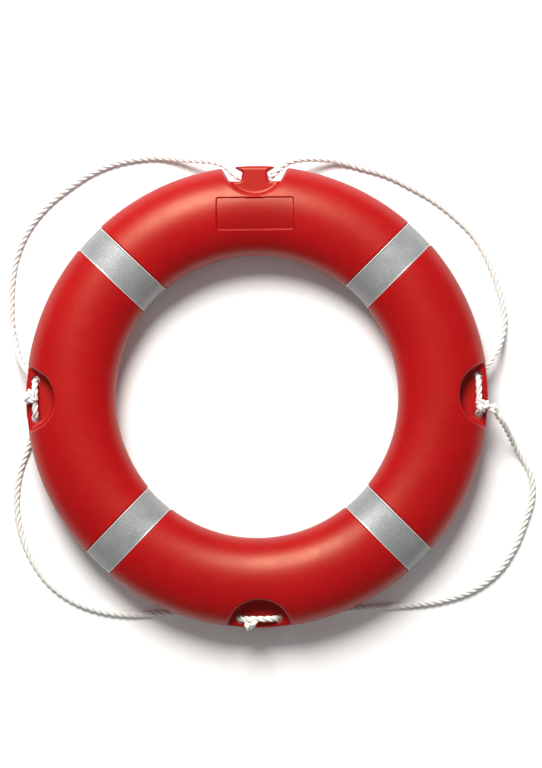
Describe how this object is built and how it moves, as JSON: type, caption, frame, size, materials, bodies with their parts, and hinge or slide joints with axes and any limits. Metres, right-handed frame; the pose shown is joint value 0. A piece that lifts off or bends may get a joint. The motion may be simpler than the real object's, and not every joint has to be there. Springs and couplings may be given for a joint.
{
  "type": "ring lifebuoy",
  "caption": "Rigid foam-filled plastic ring lifebuoy with reflective bands and a knotted rope grab line looped around its rim.",
  "frame": {"origin": "centre of the ring, on the plane that its underside rests on", "axes": "+Z along the ring's axis, out of its front face; +Y towards the lug without a knot; +X towards the lug with the double knot"},
  "size_m": [0.8641, 0.776, 0.105],
  "materials": {
    "shell": "satin moulded polyethylene, orange-red",
    "foam": "matt rigid polyurethane foam",
    "plug": "satin",
    "tape": "satin silver-grey retro-reflective film",
    "rope": "matt white laid polypropylene rope"
  },
  "bodies": {
    "root": {"front_shell": "shell", "rear_shell": "shell", "foam_core": "foam", "filler_plug": "plug", "reflective_tape_upper_right": "tape", "reflective_tape_upper_left": "tape", "reflective_tape_lower_left": "tape", "reflective_tape_lower_right": "tape", "grab_line_upper_left": "rope", "grab_line_upper_right": "rope", "grab_line_lower_left": "rope", "grab_line_lower_right": "rope", "hitch_knot_left": "rope", "hitch_knot_bottom": "rope", "hitch_knot_right": "rope"}
  },
  "joints": []
}
